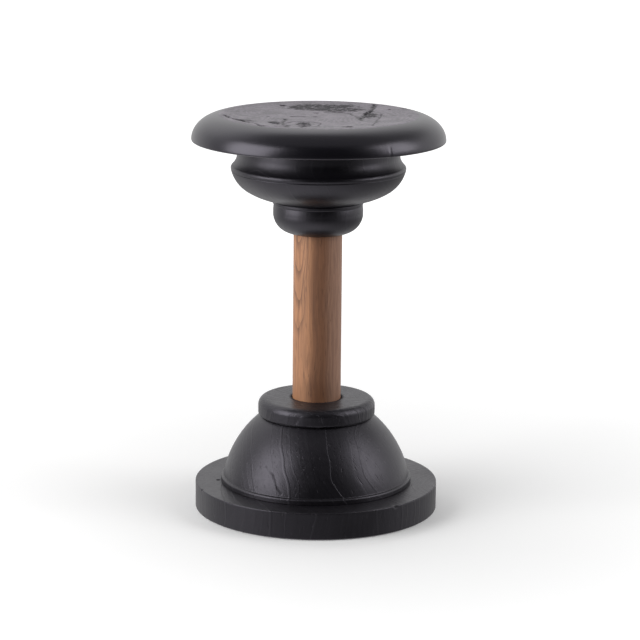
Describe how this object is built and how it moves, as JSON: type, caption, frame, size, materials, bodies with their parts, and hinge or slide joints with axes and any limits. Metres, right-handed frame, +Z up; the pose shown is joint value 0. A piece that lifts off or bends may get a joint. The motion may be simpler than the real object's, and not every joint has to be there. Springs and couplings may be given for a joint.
{
  "type": "candlestick",
  "caption": "Turned wooden candlestick: broad black foot and dome, plain brown stem, and a wide dished plate on a black bowl that holds one pillar candle.",
  "frame": {"origin": "centre of the underside, on the surface the candlestick stands on", "axes": "+Z up along the turning axis; the piece is round, so +X and +Y are any two level directions"},
  "size_m": [0.1792, 0.1792, 0.285],
  "materials": {
    "black_wood": "black stain with a thin satin wax, the grain slightly open",
    "brown_wood": "plain brown hardwood with a thin satin oil",
    "beech_dowel": "raw fluted beech",
    "zinc_steel": "bright zinc plated steel",
    "felt": "pressed black felt"
  },
  "bodies": {
    "root": {"base_disc": "black_wood", "dome": "black_wood", "collar": "black_wood", "stem": "brown_wood", "bulb": "black_wood", "bowl": "black_wood", "neck_ring": "black_wood", "candle_plate": "black_wood", "tie_rod": "zinc_steel", "foot_nut": "zinc_steel", "foot_lock_washer": "zinc_steel", "foot_washer": "zinc_steel", "head_washer": "zinc_steel", "head_lock_washer": "zinc_steel", "head_nut": "zinc_steel", "base_screws": "zinc_steel", "collar_dowels": "beech_dowel", "neck_dowels": "beech_dowel", "plate_dowels": "beech_dowel", "felt_pad": "felt"}
  },
  "joints": []
}
